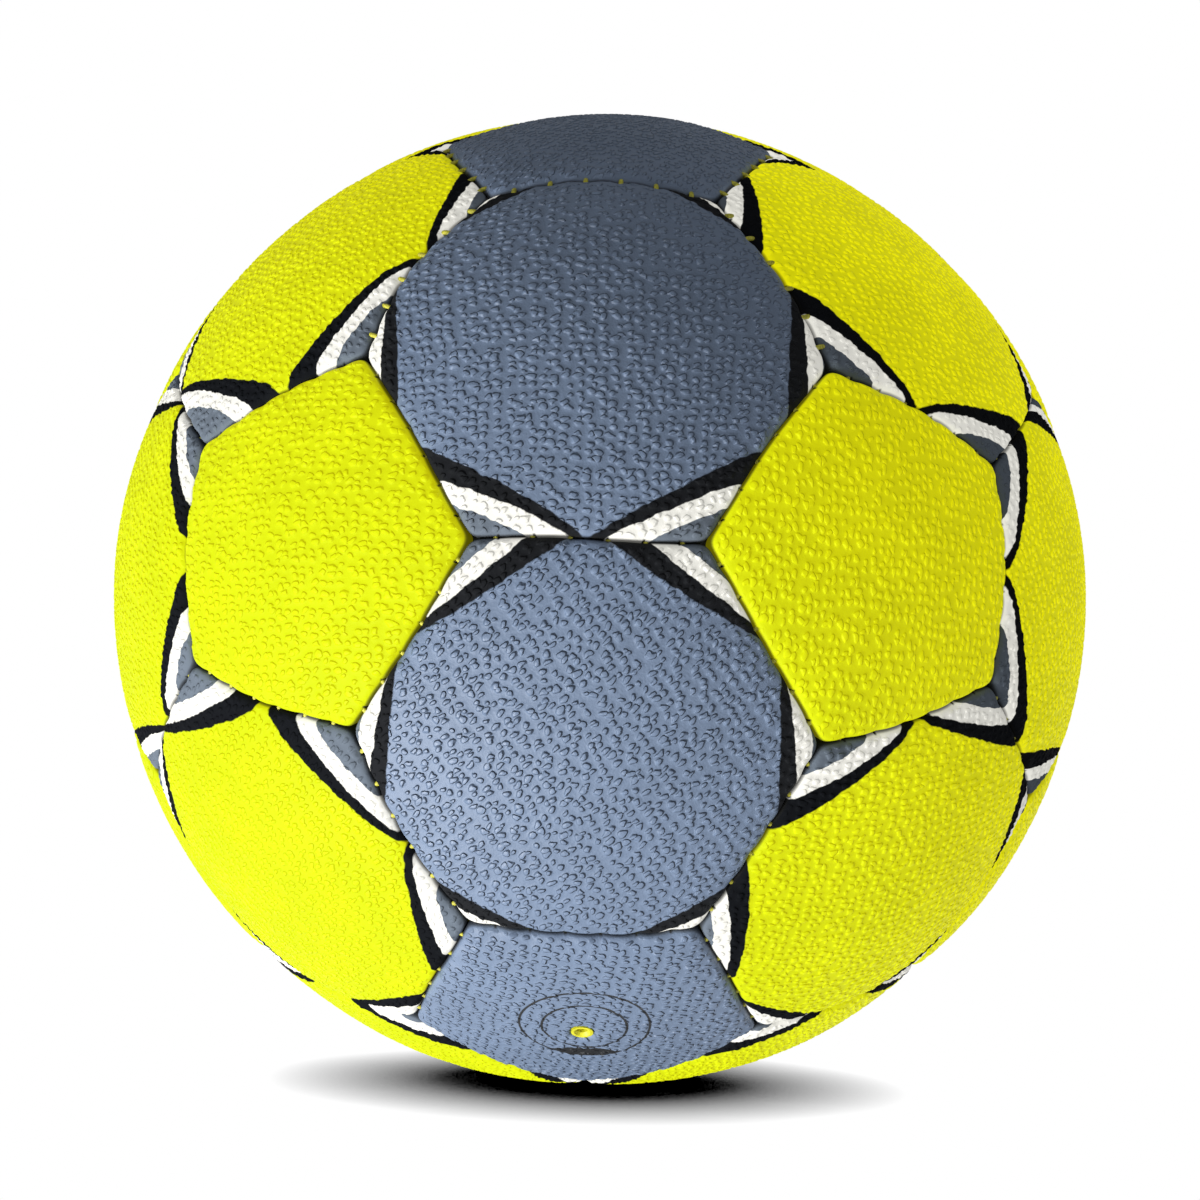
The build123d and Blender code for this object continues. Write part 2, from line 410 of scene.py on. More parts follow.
# the grain: small raised pebbles, the same nodes lift the mesh and sharpen the shading
grain = {
    "pitch": (1.85, 1.38),  # mm from pebble to pebble, along and across
    "bend": 0.25,  # how far their outlines are bent
    "bendScale": 1.2,
    "scatter": 0.6,  # 0 would set them in rows
    "small": 0.29,  # share of the pitch, from the middle of a pebble to its edge
    "large": 0.43,
    "foot": -0.04,  # its side starts here, as a share of the pitch in from the edge
    "top": 0.15,
    "lift": 0.20 * mm,  # modelled height
    "sharpen": {"grey": 0.44 * mm, "yellow": 0.25 * mm},  # height left to the shading
    "tone": {"grey": (0.99, 1.04), "yellow": (0.97, 1.04)},  # between the pebbles and on their tops
    "fine": {"scale": 2.6, "detail": 3.0, "height": 0.16},  # slight roughness over it all
    "fadeFrom": 0.2,  # mm from the seam
    "fadeTo": 1.5,
}


def addNode(tree, kind, **settings):
    node = tree.nodes.new(kind)
    row, column = divmod(len(tree.nodes), 10)
    node.location = (220 * column, -260 * row)
    for key, value in settings.items():
        setattr(node, key, value)
    return node


def feed(tree, socket, value):
    if isinstance(value, (int, float)):
        socket.default_value = value
    elif isinstance(value, tuple):
        socket.default_value = (*value, 1) if socket.type == "RGBA" else value
    else:
        tree.links.new(value, socket)


def maths(tree, operation, *values):
    node = addNode(tree, "ShaderNodeMath", operation=operation)
    for socket, value in zip(node.inputs, values):
        feed(tree, socket, value)
    return node.outputs[0]


def vectors(tree, operation, *values):
    node = addNode(tree, "ShaderNodeVectorMath", operation=operation)
    for socket, value in zip(node.inputs, values):
        feed(tree, socket, value)
    return node


def ramp(tree, value, low, high, kind="SMOOTHSTEP"):
    node = addNode(tree, "ShaderNodeMapRange", interpolation_type=kind)
    feed(tree, node.inputs["Value"], value)
    feed(tree, node.inputs["From Min"], min(low, high))
    feed(tree, node.inputs["From Max"], max(low, high))
    feed(tree, node.inputs["To Min"], 0.0 if low < high else 1.0)
    feed(tree, node.inputs["To Max"], 1.0 if low < high else 0.0)
    return node.outputs["Result"]


def noise(tree, place, scale, detail, **settings):
    node = addNode(tree, "ShaderNodeTexNoise", **settings)
    feed(tree, node.inputs["Vector"], place)
    feed(tree, node.inputs["Scale"], scale)
    feed(tree, node.inputs["Detail"], detail)
    return node


def mixColour(tree, factor, a, b):
    node = addNode(tree, "ShaderNodeMix", data_type="RGBA")
    feed(tree, node.inputs[0], factor)
    feed(tree, node.inputs[6], a)
    feed(tree, node.inputs[7], b)
    return node.outputs[2]


def pebbles(tree, flat, rim):
    scale = vectors(tree, "MULTIPLY", flat, (1 / grain["pitch"][0], 1 / grain["pitch"][1], 1.0))
    bends = noise(tree, scale.outputs[0], grain["bendScale"], 0.0, noise_dimensions="2D")
    middle = vectors(tree, "SUBTRACT", bends.outputs["Color"], (0.5, 0.5, 0.5))
    bent = vectors(tree, "MULTIPLY_ADD", middle.outputs[0], (grain["bend"] * 2,) * 3, scale.outputs[0])
    cells = addNode(tree, "ShaderNodeTexVoronoi", voronoi_dimensions="2D", feature="F1")
    feed(tree, cells.inputs["Vector"], bent.outputs[0])
    feed(tree, cells.inputs["Scale"], 1.0)
    feed(tree, cells.inputs["Randomness"], grain["scatter"])
    dice = addNode(tree, "ShaderNodeSeparateXYZ")
    feed(tree, dice.inputs[0], cells.outputs["Color"])
    size = maths(tree, "MULTIPLY_ADD", dice.outputs[0], grain["large"] - grain["small"], grain["small"])
    inside = maths(tree, "SUBTRACT", size, cells.outputs["Distance"])
    raised = ramp(tree, inside, grain["foot"], grain["top"])
    return maths(tree, "MULTIPLY", raised, ramp(tree, rim, grain["fadeFrom"], grain["fadeTo"]))


def pebbleLift():
    tree = bpy.data.node_groups.new("pebbleLift", "GeometryNodeTree")
    tree.interface.new_socket("Skin", in_out="INPUT", socket_type="NodeSocketGeometry")
    tree.interface.new_socket("Grained", in_out="OUTPUT", socket_type="NodeSocketGeometry")
    start = addNode(tree, "NodeGroupInput")
    flat = addNode(tree, "GeometryNodeInputNamedAttribute", data_type="FLOAT_VECTOR")
    flat.inputs["Name"].default_value = "flatMm"
    rim = addNode(tree, "GeometryNodeInputNamedAttribute", data_type="FLOAT")
    rim.inputs["Name"].default_value = "rimMm"
    height = pebbles(tree, flat.outputs["Attribute"], rim.outputs["Attribute"])
    outward = addNode(tree, "GeometryNodeInputNormal")
    lift = vectors(tree, "SCALE", outward.outputs[0])
    feed(tree, lift.inputs["Scale"], maths(tree, "MULTIPLY", height, grain["lift"]))
    move = addNode(tree, "GeometryNodeSetPosition")
    feed(tree, move.inputs["Geometry"], start.outputs[0])
    feed(tree, move.inputs["Offset"], lift.outputs[0])
    end = addNode(tree, "NodeGroupOutput")
    feed(tree, end.inputs[0], move.outputs[0])
    return tree


liftTree = pebbleLift()


def raiseGrain(obj):
    makeActive(obj)
    bpy.ops.object.modifier_add(type="NODES")
    obj.modifiers[-1].node_group = liftTree
    bpy.ops.object.modifier_apply(modifier=obj.modifiers[-1].name)


# effects that the covers share
def newGroup(name, ins, outs):
    tree = bpy.data.node_groups.new(name, "ShaderNodeTree")
    for label, kind in ins:
        tree.interface.new_socket(label, in_out="INPUT", socket_type="NodeSocket" + kind)
    for label in outs:
        tree.interface.new_socket(label, in_out="OUTPUT", socket_type="NodeSocketFloat")
    return tree, addNode(tree, "NodeGroupInput")


def endGroup(tree, **results):
    end = addNode(tree, "NodeGroupOutput")
    for label, value in results.items():
        feed(tree, end.inputs[label], value)
    return tree


def grainGroup():
    tree, start = newGroup("pebbleGrain", [("Flat", "Vector"), ("Rim", "Float")], ["Height", "Tops"])
    raised = pebbles(tree, start.outputs["Flat"], start.outputs["Rim"])
    fine = noise(tree, start.outputs["Flat"], grain["fine"]["scale"], grain["fine"]["detail"])
    height = maths(tree, "MULTIPLY_ADD", fine.outputs["Fac"], grain["fine"]["height"], raised)
    return endGroup(tree, Height=height, Tops=raised)


# stripes across the corners of a hexagon, as shares of its edges: beside a hexagon, beside a pentagon
stripes = {
    "black": (0.495, 0.45),
    "white": (0.44, 0.29),
    "corner": (0.27, 0.175),
    "bulge": 1.25,
    "wobble": 0.012,
    "wobbleScale": 0.45,
    "wobbleDetail": 2.0,
    "edge": 0.012,  # softness of the outline
}


def stripeGroup():
    ins = [("Place", "Vector"), ("Flat", "Vector")]
    tree, start = newGroup("cornerStripes", ins, ["Black", "White", "Corner"])
    wave = noise(tree, start.outputs["Flat"], stripes["wobbleScale"], stripes["wobbleDetail"])
    shift = vectors(tree, "SUBTRACT", wave.outputs["Color"], (0.5, 0.5, 0.5))
    spot = vectors(tree, "MULTIPLY_ADD", shift.outputs[0], (stripes["wobble"] * 2,) * 3, start.outputs["Place"])
    axes = addNode(tree, "ShaderNodeSeparateXYZ")
    feed(tree, axes.inputs[0], spot.outputs[0])
    x, y = axes.outputs[0], axes.outputs[1]
    far = maths(tree, "SQRT", maths(tree, "ADD", maths(tree, "MULTIPLY", x, x), maths(tree, "MULTIPLY", y, y)))
    third = 2 * math.pi / 3  # the print repeats three times round the panel, mirrored in each third
    turn = maths(tree, "FLOORED_MODULO", maths(tree, "ADD", maths(tree, "ARCTAN2", y, x), third / 2), third)
    turn = maths(tree, "ABSOLUTE", maths(tree, "SUBTRACT", turn, third / 2))
    tall = math.sqrt(3) / 2
    across = maths(tree, "MULTIPLY", far, maths(tree, "COSINE", turn))
    upward = maths(tree, "MULTIPLY", far, maths(tree, "SINE", turn))
    besideHex = maths(tree, "DIVIDE", maths(tree, "SUBTRACT", tall, across), tall)
    besidePent = maths(tree, "SUBTRACT", maths(tree, "MULTIPLY_ADD", besideHex, 0.5, 0.5), upward)
    besideHex = maths(tree, "MAXIMUM", besideHex, 0.0001)  # a power needs more than nought
    besidePent = maths(tree, "MAXIMUM", besidePent, 0.0001)
    masks = {}
    for part in ("black", "white", "corner"):
        hexShare, pentShare = stripes[part]
        a = maths(tree, "POWER", maths(tree, "DIVIDE", besideHex, hexShare), stripes["bulge"])
        b = maths(tree, "POWER", maths(tree, "DIVIDE", besidePent, pentShare), stripes["bulge"])
        both = maths(tree, "ADD", a, b)
        masks[part.title()] = ramp(tree, both, 1 + stripes["edge"], 1 - stripes["edge"], "LINEAR")
    return endGroup(tree, **masks)


# mottled clouds of tone, and a darkening of the seams and stitch holes that is partly grime and partly painted
# shade
wearAndShade = {
    "cloudScale": 0.09,
    "cloudDetail": 4.0,
    "cloud": (0.3, 0.7),
    "seam": 0.4,  # mm from the wall where the grime and painted shade of the seam start
    "seamShare": 0.8,
    "stitch": (0.55, 0.2),  # mm from a stitch hole, darkened with grime and painted shade
}


# the seams and stitch holes darken with grime and painted shade; the clouds give a mottled tone
def grimeAndShadeGroup():
    ins = [("Flat", "Vector"), ("Rim", "Float"), ("Stitch", "Float")]
    tree, start = newGroup("seamGrime", ins, ["Grime", "Mottle"])
    cloud = noise(tree, start.outputs["Flat"], wearAndShade["cloudScale"], wearAndShade["cloudDetail"]).outputs["Fac"]
    inSeam = maths(tree, "MULTIPLY", ramp(tree, start.outputs["Rim"], wearAndShade["seam"], 0.0), wearAndShade["seamShare"])
    grimeAndShade = maths(tree, "MAXIMUM", inSeam, ramp(tree, start.outputs["Stitch"], *wearAndShade["stitch"]))
    return endGroup(tree, Grime=grimeAndShade, Mottle=ramp(tree, cloud, *wearAndShade["cloud"]))


# painted light: the cover glows, though it is no lamp, and the glow is painted brighter on the side of each
# pebble that faces the key lamp and darker on the side away from it
paintedGlow = {
    "toward": (-0.62, -0.53, -0.58),  # the key lamp
    "strength": 0.6,
    "relief": 0.55,
    "straight": -0.55,  # less painted relief where the light falls straight
    "least": 0.45,
    "most": 1.5,
}


def paintedReliefGroup():
    tree, start = newGroup("paintedRelief", [("Normal", "Vector"), ("Place", "Vector")], ["Glow"])
    around = vectors(tree, "NORMALIZE", start.outputs["Place"]).outputs[0]
    slope = vectors(tree, "SUBTRACT", start.outputs["Normal"], around).outputs[0]
    facingLamp = vectors(tree, "DOT_PRODUCT", slope, paintedGlow["toward"]).outputs["Value"]
    straight = vectors(tree, "DOT_PRODUCT", around, paintedGlow["toward"]).outputs["Value"]
    relief = maths(tree, "MULTIPLY_ADD", straight, paintedGlow["straight"], paintedGlow["relief"])
    glow = maths(tree, "MULTIPLY_ADD", facingLamp, relief, 1.0)
    glow = maths(tree, "MAXIMUM", glow, paintedGlow["least"])
    return endGroup(tree, Glow=maths(tree, "MINIMUM", glow, paintedGlow["most"]))


grainTree, stripeTree, grimeAndShadeTree, paintedReliefTree = grainGroup(), stripeGroup(), grimeAndShadeGroup(), paintedReliefGroup()
print("grain, stripe, grime and dye groups made")


def newMaterial(name):
    material = bpy.data.materials.new(name)
    material.use_nodes = True
    return material, material.node_tree, material.node_tree.nodes["Principled BSDF"]


def useGroup(tree, group, **ins):
    node = addNode(tree, "ShaderNodeGroup")
    node.node_tree = group
    for label, value in ins.items():
        feed(tree, node.inputs[label], value)
    return node


def pointField(tree, name, output="Vector"):
    return addNode(tree, "ShaderNodeAttribute", attribute_name=name).outputs[output]


coverColours = {
    "yellow": (0.26, 0.385, 0.003),
    "grey": (0.172, 0.234, 0.348),
    "black": (0.008, 0.009, 0.011),
    "white": (0.55, 0.54, 0.50),
    "corner": (0.15, 0.18, 0.22),
    # the dark of the seams and stitch holes: grime and painted shade
    "grimeAndShade": (0.02, 0.02, 0.018),
}
# painted light: the colours that the covers glow with, though they are no lamp
glowColours = {
    "yellow": (0.91, 0.83, 0.002),  # painted glow: the yellow shines though no lamp falls on it, so it stays bright in shade
    "white": (0.76, 0.75, 0.69),  # painted glow: it keeps the white print white in shade
}
noGlow = (0.0, 0.0, 0.0)
coverFinish = {
    "mottle": 0.92,  # share of the colour left in the darker clouds
    "rough": (0.55, 0.45),  # between the pebbles and on their tops
    "gloss": {"yellow": 0.05, "grey": 0.5},
}
blackInk = {
    "fill": 0.35,  # it fills the grain
    "rough": 0.85,  # and is matt
    "dull": 0.7,
}
valvePrint = {  # mm
    "rings": (7.35, 11.25),
    "line": 0.23,
    "edge": 0.06,
    "markDown": 20.0,  # a lens at the foot of the rings: how far down its circle lies, and its radius
    "markRadius": 12.2,
}


def toned(tree, colour, hue, grained, wornAndShaded):
    dark = tuple(c * coverFinish["mottle"] for c in colour)
    land, crest = grain["tone"][hue]
    node = vectors(tree, "SCALE", mixColour(tree, wornAndShaded.outputs["Mottle"], dark, colour))
    feed(tree, node.inputs["Scale"], maths(tree, "MULTIPLY_ADD", grained.outputs["Tops"], crest - land, land))
    return node.outputs[0]


def printRings(tree, colour):
    place = pointField(tree, "printPlace")
    far = vectors(tree, "LENGTH", place).outputs["Value"]
    below = vectors(tree, "ADD", place, (valvePrint["markDown"], 0.0, 0.0)).outputs[0]
    inRings = maths(tree, "LESS_THAN", far, max(valvePrint["rings"]))
    inMark = maths(tree, "LESS_THAN", vectors(tree, "LENGTH", below).outputs["Value"], valvePrint["markRadius"])
    colour = mixColour(tree, maths(tree, "MULTIPLY", inRings, inMark), colour, coverColours["black"])
    line, edge = valvePrint["line"], valvePrint["edge"]
    for size in valvePrint["rings"]:
        off = maths(tree, "ABSOLUTE", maths(tree, "SUBTRACT", far, size))
        ring = ramp(tree, off, line + edge, line - edge, "LINEAR")
        colour = mixColour(tree, ring, colour, coverColours["black"])
    return colour


def coverLeather(name, hue, striped=False, ringed=False):
    material, tree, shader = newMaterial(name)
    flat = pointField(tree, "flatMm")
    rim = pointField(tree, "rimMm", "Fac")
    grained = useGroup(tree, grainTree, Flat=flat, Rim=rim)
    wornAndShaded = useGroup(tree, grimeAndShadeTree, Flat=flat, Rim=rim, Stitch=pointField(tree, "stitchMm", "Fac"))
    colour = toned(tree, coverColours[hue], hue, grained, wornAndShaded)
    # painted glow, toned by the grain and the clouds like the cover
    glowColour = toned(tree, glowColours[hue], hue, grained, wornAndShaded) if hue in glowColours else noGlow
    height = grained.outputs["Height"]
    land, crest = coverFinish["rough"]
    rough = maths(tree, "MULTIPLY_ADD", grained.outputs["Tops"], crest - land, land)
    gloss = coverFinish["gloss"][hue]
    if striped:
        band = useGroup(tree, stripeTree, Place=pointField(tree, "printPlace"), Flat=flat)
        for part in ("black", "white", "corner"):
            mask = band.outputs[part.title()]
            colour = mixColour(tree, mask, colour, coverColours[part])
            glowColour = mixColour(tree, mask, glowColour, glowColours.get(part, noGlow))
        black = band.outputs["Black"]
        height = maths(tree, "MULTIPLY", height, maths(tree, "MULTIPLY_ADD", black, -blackInk["fill"], 1.0))
        rough = maths(tree, "MAXIMUM", rough, maths(tree, "MULTIPLY", black, blackInk["rough"]))
        gloss = maths(tree, "MULTIPLY_ADD", black, -blackInk["dull"] * gloss, gloss)
    if ringed:
        colour = printRings(tree, colour)
    # grime and painted shade darken the seams and the skin round the stitch holes
    colour = mixColour(tree, wornAndShaded.outputs["Grime"], colour, coverColours["grimeAndShade"])
    feed(tree, shader.inputs["Base Color"], colour)
    feed(tree, shader.inputs["Roughness"], rough)
    feed(tree, shader.inputs["Specular IOR Level"], gloss)
    bump = addNode(tree, "ShaderNodeBump")
    feed(tree, bump.inputs["Distance"], grain["sharpen"][hue])
    feed(tree, bump.inputs["Height"], height)
    feed(tree, shader.inputs["Normal"], bump.outputs[0])
    # painted light: the yellow and the white print glow, brighter on the pebble sides that face the key lamp;
    # grime and painted shade take the glow out of the seams
    if striped or hue in glowColours:
        place = addNode(tree, "ShaderNodeTexCoord").outputs["Object"]
        lit = useGroup(tree, paintedReliefTree, Normal=bump.outputs[0], Place=place)
        strength = maths(tree, "MULTIPLY", lit.outputs["Glow"], paintedGlow["strength"])
        feed(tree, shader.inputs["Emission Color"], mixColour(tree, wornAndShaded.outputs["Grime"], glowColour, noGlow))
        feed(tree, shader.inputs["Emission Strength"], strength)
    return material


covers = {
    "hexYellow": coverLeather("hexYellow", "yellow", striped=True),
    "hexGrey": coverLeather("hexGrey", "grey", striped=True),
    "pentYellow": coverLeather("pentYellow", "yellow"),
    "pentGrey": coverLeather("pentGrey", "grey"),
    "valveGrey": coverLeather("valveGrey", "grey", ringed=True),
}
print("cover leathers made")


# rubber, foam, cloth and thread: two tones in a fine noise, with a slight relief
plainLooks = {
    "foam": {
        "dark": (0.62, 0.61, 0.57),
        "light": (0.74, 0.73, 0.69),
        "scale": 900,
        "roughness": 0.8,
        "relief": 0.1 * mm,
    },
    "lining": {
        "dark": (0.52, 0.49, 0.42),
        "light": (0.66, 0.62, 0.55),
        "scale": 1500,
        "roughness": 0.9,
        "relief": 0.1 * mm,
    },
    "thread": {
        "dark": (0.42, 0.40, 0.03),
        "light": (0.70, 0.66, 0.06),
        "scale": 2500,
        "roughness": 0.6,
        "relief": 0.06 * mm,
    },
    "bladder": {
        "dark": (0.012, 0.012, 0.013),
        "light": (0.022, 0.022, 0.024),
        "scale": 300,
        "roughness": 0.5,
        "relief": 0.03 * mm,
    },
    "valveRubber": {
        "dark": (0.60, 0.57, 0.01),
        "light": (0.82, 0.78, 0.02),
        "scale": 700,
        "roughness": 0.5,
        "relief": 0.05 * mm,
    },
}
flecks = {"detail": 4.0, "between": (0.35, 0.65), "roughness": 0.2}


def plainFinish(name, dark, light, scale, roughness, relief):
    material, tree, shader = newMaterial(name)
    place = addNode(tree, "ShaderNodeTexCoord").outputs["Object"]
    fleck = noise(tree, place, scale, flecks["detail"]).outputs["Fac"]
    feed(tree, shader.inputs["Base Color"], mixColour(tree, ramp(tree, fleck, *flecks["between"]), dark, light))
    rough = maths(tree, "MULTIPLY_ADD", fleck, flecks["roughness"], roughness - flecks["roughness"] / 2)
    feed(tree, shader.inputs["Roughness"], rough)
    bump = addNode(tree, "ShaderNodeBump")
    feed(tree, bump.inputs["Distance"], relief)
    feed(tree, bump.inputs["Height"], fleck)
    feed(tree, shader.inputs["Normal"], bump.outputs[0])
    return material


finishes = {name: plainFinish(name, **look) for name, look in plainLooks.items()}
print("plain finishes made")

# the panels: modelled once, copied and set round the ball
pentLike = (5, pentReach, panelShape["pentRings"], panelShape["pentSharp"])
hexMaster = modelPanel("hexMaster", 6, hexReach, panelShape["hexRings"], panelShape["hexSharp"])
pentMaster = modelPanel("pentMaster", *pentLike)
valveMaster = modelPanel("valveMaster", *pentLike, valveHole["radius"])
print("master panels modelled:", [len(m.data.polygons) for m in (hexMaster, pentMaster, valveMaster)])

greyPanels = {"hex_panel_07", "hex_panel_08", "hex_panel_13", "hex_panel_14"}
greyPanels |= {"pent_panel_01", "pent_panel_02", "pent_panel_11", "valve_panel"}
printOff = {  # mm off the cut
    "hex_panel_07": (-0.3, 0, 3.4),
    "hex_panel_13": (0, 0, -2.2),
    "hex_panel_06": (0, 0, 4.6),
    "hex_panel_03": (0, 0, 2.4),
    "hex_panel_18": (-1.2, 0, -3.2),
    "hex_panel_15": (0.5, 0, -2.0),
    "valve_panel": (0.4, 0, 4.2),
}
printScale = {  # cut smaller than the print
    "hex_panel_07": 1.092,
    "hex_panel_13": 1.09,
    "hex_panel_06": 1.03,
    "hex_panel_03": 1.05,
    "hex_panel_18": 1.02,
    "hex_panel_15": 1.05,
    "hex_panel_01": 1.16,
    "hex_panel_02": 1.16,
    "hex_panel_19": 1.1,
    "hex_panel_20": 1.1,
}
# these are cut with the print one side round
turnedPrints = {"hex_panel_03", "hex_panel_09", "hex_panel_13", "hex_panel_15"}
loosePrint = {"slack": 0.5, "waves": (7, 5, 3)}  # mm, for the panels without a measured offset
grainTurn = {"hex_panel_07": math.pi / 2, "hex_panel_13": 0.2, "pent_panel_05": 0.3}
# each panel is cut from its own part of the sheet
grainSpread = {"turn": 2.4, "shift": (97.0, 61.0, 13.0), "rows": 5}
hexCorner = radius * math.tan(hexReach) / math.cos(math.pi / 6)  # from the middle of a flat hexagon


def looseOff(number):
    slack = loosePrint["slack"]
    a, b, c = loosePrint["waves"]
    return slack * math.sin(a * number), slack * math.cos(b * number), slack * math.sin(c * number)


def setPanel(master, name, axis, others, number):
    panel = copyOf(master, pieceName(name))
    place = facing(axis, nearest(axis, others))
    flat = readPoints(panel.data, "flatMm")
    spot = readPoints(panel.data, "printPlace")
    off = np.array(place.to_3x3().transposed() @ Vector(printOff.get(name, looseOff(number))))
    off[2] = 0
    if isValve(axis):  # the rings are drawn in mm
        spot = flat - off
    else:
        spot -= off * mm / hexCorner
        spot /= printScale.get(name, 1)
    if name in turnedPrints:
        spot = spot @ np.array(Matrix.Rotation(math.pi / 3, 3, "Z"))
    keepOnPoints(panel.data, "printPlace", "FLOAT_VECTOR", spot)
    flat = flat @ np.array(Matrix.Rotation(grainTurn.get(name, grainSpread["turn"] * number), 3, "Z"))
    shift = np.array(grainSpread["shift"]) * (number, number % grainSpread["rows"], number)
    keepOnPoints(panel.data, "flatMm", "FLOAT_VECTOR", flat + shift)
    applyPlace(panel, place)
    settle(panel.data)
    raiseGrain(panel)
    grey = name in greyPanels
    look = "valveGrey" if isValve(axis) else name[: name.index("_")] + ("Grey" if grey else "Yellow")
    setFinish(panel, covers[look])
    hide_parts(name)
    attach(panel, "root")
    return panel


panels = []
for number, axis in enumerate(hexAxes, 1):
    panels.append(setPanel(hexMaster, f"hex_panel_{number:02d}", axis, pentAxes, number))
plainPents = [axis for axis in pentAxes if not isValve(axis)]
for number, axis in enumerate(plainPents, 1):
    panels.append(setPanel(pentMaster, f"pent_panel_{number:02d}", axis, hexAxes, len(hexAxes) + number))
panels.append(setPanel(valveMaster, "valve_panel", valveAxis, hexAxes, len(panels) + 1))
for master in (hexMaster, pentMaster, valveMaster):
    bpy.data.objects.remove(master, do_unlink=True)
print("panels set:", len(panels))

# the sewing: arched stitches across the seam, tied by a run of thread behind each wall
stitching = {
    "thread": 0.42 * mm,  # radius
    "side": 2.05 * mm,  # runs lie this far from the seam
    "rise": 0.92,  # how steep the arches are
    "pulled": (-0.60 * mm, -0.12 * mm),  # some seams are drawn in more than others
    "pullWave": (9, 7, 5),
    "loose": {"near": Vector((0, -0.75, 0.66)), "within": 0.36, "lift": 0.55 * mm},  # stitches that show
    "count": 6,
    "runEnd": 0.7,  # a run stops this share of a pitch short of six pitches
    "sides": 8,
    "steps": 10,
}
stitchRadius = radius - ball["stitchDepth"]
stitchStep = ball["stitchPitch"] / stitchRadius


def spun(name, location, rotation, steps, angle, center, axis):
    deselectAll()
    bpy.ops.mesh.primitive_circle_add(
        vertices=stitching["sides"],
        radius=stitching["thread"],
        location=location,
        rotation=rotation,
    )
    obj = bpy.context.object
    obj.name = name
    bpy.ops.object.transform_apply(location=True, rotation=True, scale=True)
    bpy.ops.object.mode_set(mode="EDIT")
    bpy.ops.mesh.select_all(action="SELECT")
    bpy.ops.mesh.spin(steps=steps, angle=angle, center=center, axis=axis)
    bpy.ops.mesh.select_all(action="SELECT")
    bpy.ops.mesh.fill_holes(sides=0)
    bpy.ops.mesh.select_all(action="SELECT")
    bpy.ops.mesh.normals_make_consistent(inside=False)
    bpy.ops.object.mode_set(mode="OBJECT")
    return obj


def joined(objects, name):
    deselectAll()
    for obj in objects:
        obj.select_set(True)
    bpy.context.view_layer.objects.active = objects[0]
    bpy.ops.object.join()
    objects[0].name = name
    return objects[0]


def modelSeam():
    side, count = stitching["side"], stitching["count"]
    middle = (0, 0, stitchRadius)
    arch = spun("arch", (0, side, stitchRadius), (0, 0, 0), stitching["steps"], -math.pi, middle, (1, 0, 0))
    coords = coordsOf(arch.data)
    coords[:, 2] = stitchRadius + (coords[:, 2] - stitchRadius) * stitching["rise"]
    setCoords(arch.data, coords)
    pieces = []
    for k in range(count):
        stitch = copyOf(arch, "stitch")
        applyPlace(stitch, Matrix.Rotation((k - (count - 1) / 2) * stitchStep, 4, "Y"))
        pieces.append(stitch)
    sweep = (count - stitching["runEnd"]) * stitchStep
    for y in (side, -side):
        run = spun("run", (0, y, stitchRadius), (0, math.pi / 2, 0), count + 1, sweep, (0, 0, 0), (0, 1, 0))
        applyPlace(run, Matrix.Rotation(-sweep / 2, 4, "Y"))
        pieces.append(run)
    bpy.data.objects.remove(arch, do_unlink=True)
    seam = joined(pieces, "seam")
    bpy.ops.object.shade_smooth()
    setFinish(seam, finishes["thread"])
    return seam


def stitchLift(middle):
    loose = stitching["loose"]
    if (middle - loose["near"]).length < loose["within"]:
        return loose["lift"]
    low, high = stitching["pulled"]
    turn = sum(a * b for a, b in zip(stitching["pullWave"], middle))
    return low + (high - low) * (0.5 + 0.5 * math.sin(turn))


def sewSeams(node, places):
    copies = []
    for middle, along in places:
        z = middle.normalized()
        x = along.normalized()
        thread = copyOf(seamMaster, node)
        applyPlace(thread, Matrix.Translation(z * stitchLift(z)) @ turnedTo(x, z.cross(x), z))
        copies.append(thread)
    threads = joined(copies, pieceName(node))
    settle(threads.data)
    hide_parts(node)
    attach(threads, "root")


def hexSeams():
    pairs = [(a, b) for n, a in enumerate(hexAxes) for b in neighbours(a, hexAxes[n + 1 :], 2 * hexReach)]
    return [(a + b, a.cross(b)) for a, b in pairs]


def pentSeams(level):  # round the four pentagons square to this axis
    pents = [axis for axis in pentAxes if abs(axis[level]) < 0.01]
    pairs = [(pent, other) for pent in pents for other in neighbours(pent, hexAxes, pentReach + hexReach)]
    share = math.sin(pentReach) / math.sin(hexReach)
    return [(other * share + pent, other.cross(pent)) for pent, other in pairs]


seamMaster = modelSeam()
sewSeams("hex_seam_threads", hexSeams())
sewSeams("top_bottom_pent_threads", pentSeams(0))
sewSeams("front_back_pent_threads", pentSeams(2))
sewSeams("side_pent_threads", pentSeams(1))
bpy.data.objects.remove(seamMaster, do_unlink=True)
print("seams sewn")

# the foam pads lie under their panels, so they follow the seams
for name in ("hex_foam_pads", "pent_foam_pads", "valve_foam_pad"):
    pads = copyOf(nodes[name], pieceName(name))
    pads.parent = None
    applyPlace(pads, nodes[name].matrix_world.copy())
    settle(pads.data)
    setFinish(pads, finishes["foam"])
    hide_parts(name)
    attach(pads, "root")

# the valve and the layers inside keep their solids and get a finish
inside = {
    "hex_linings": "lining",
    "pent_linings": "lining",
    "valve_lining": "lining",
    "bladder": "bladder",
    "valve_boss": "bladder",
    "valve_plug": "valveRubber",
}
for name, look in inside.items():
    setFinish(nodes[name], finishes[look])
print("inner layers finished")

# the camera, where the photo was taken from
shot = {
    "distance": 0.4291,
    "away": Vector((0.01994, -0.99458, -0.10208)),
    "up": Vector((-0.02578, -0.10258, 0.99439)),
    "lens": 65.12,
    "sensor": 36,
    "clipStart": 0.01,
}


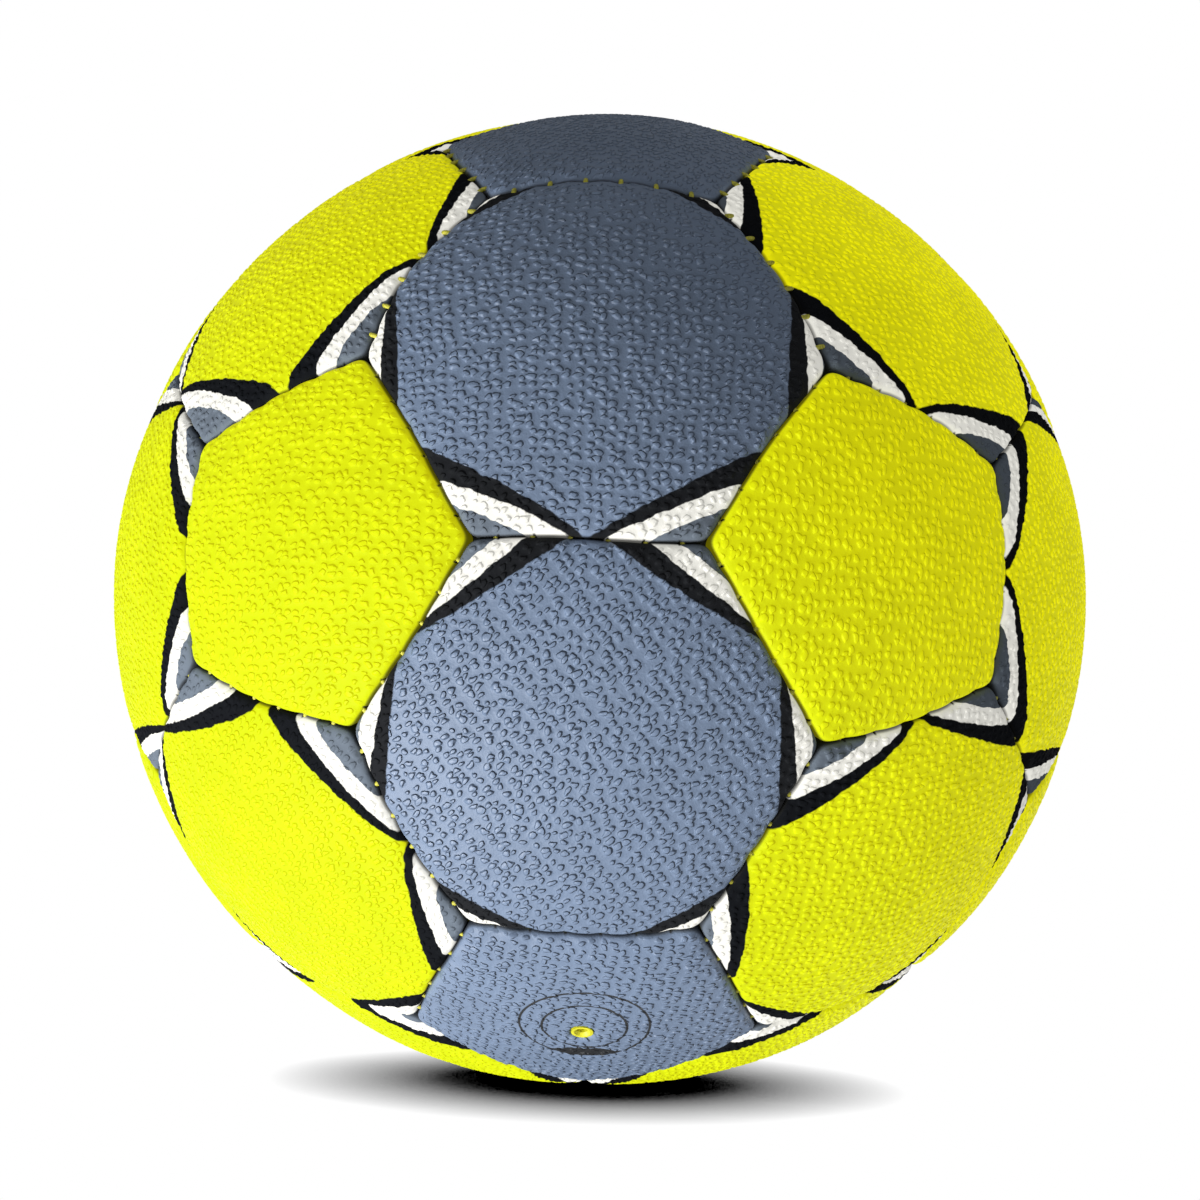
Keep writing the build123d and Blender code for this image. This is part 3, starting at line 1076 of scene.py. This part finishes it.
def setCamera():
    data = bpy.data.cameras.new("photoCamera")
    data.sensor_width = shot["sensor"]
    data.lens = shot["lens"]
    data.clip_start = shot["clipStart"]
    camera = bpy.data.objects.new("photoCamera", data)
    bpy.context.collection.objects.link(camera)
    back = shot["away"].normalized()
    right = shot["up"].cross(back).normalized()
    turned = turnedTo(right, back.cross(right), back)
    camera.matrix_world = Matrix.Translation(back * shot["distance"]) @ turned
    bpy.context.scene.camera = camera


setCamera()

# pale floor and soft studio light
studio = {
    "world": 0.28,
    "floor": 8,
    "shadeReach": 0.018,  # how far the contact shadow spreads
    "shadeSamples": 16,
    "shade": (0.13, 1.0),  # full shadow and none
    "shadeFall": 0.7,  # under 1 gives a paler edge
    "key": {"at": (-0.558, -0.477, -0.522), "size": 0.4, "power": 10.4},
}


def softLamp(name, at, size, power):
    data = bpy.data.lights.new(name, "AREA")
    data.size = size
    data.energy = power
    lamp = bpy.data.objects.new(name, data)
    bpy.context.collection.objects.link(lamp)
    lamp.location = at
    lamp.rotation_euler = (-Vector(at)).to_track_quat("-Z", "Y").to_euler()


def setFloor():
    low = min(corner[2] for panel in panels for corner in panel.bound_box)
    deselectAll()
    bpy.ops.mesh.primitive_plane_add(size=studio["floor"], location=(0, 0, low))
    floor = bpy.context.object
    floor.name = "paleFloor"
    floor.visible_shadow = False  # the key light comes from below, as off a bright table
    floor.visible_diffuse = False
    material, tree, shader = newMaterial("paleFloor")
    feed(tree, shader.inputs["Base Color"], (0.0, 0.0, 0.0))
    feed(tree, shader.inputs["Specular IOR Level"], 0.0)
    # painted shadow: the floor only glows, and its glow is dimmed by ambient occlusion near the ball
    shade = addNode(tree, "ShaderNodeAmbientOcclusion", samples=studio["shadeSamples"])
    feed(tree, shade.inputs["Distance"], studio["shadeReach"])
    feed(tree, shader.inputs["Emission Color"], (1.0, 1.0, 1.0))
    lit = ramp(tree, shade.outputs["AO"], *studio["shade"], "LINEAR")
    feed(tree, shader.inputs["Emission Strength"], maths(tree, "POWER", lit, studio["shadeFall"]))
    floor.data.materials.append(material)


def setWorld():
    world = bpy.data.worlds.new("studio")
    bpy.context.scene.world = world
    world.use_nodes = True
    tree = world.node_tree
    paper = tree.nodes["Background"]
    feed(tree, paper.inputs["Color"], (1.0, 1.0, 1.0))
    rays = addNode(tree, "ShaderNodeLightPath")
    seen = rays.outputs["Is Camera Ray"]
    strength = maths(tree, "MULTIPLY_ADD", seen, 1 - studio["world"], studio["world"])
    feed(tree, paper.inputs["Strength"], strength)


setFloor()
setWorld()
softLamp("key", **studio["key"])
bpy.context.scene.view_settings.view_transform = "Standard"
print("camera and studio set")
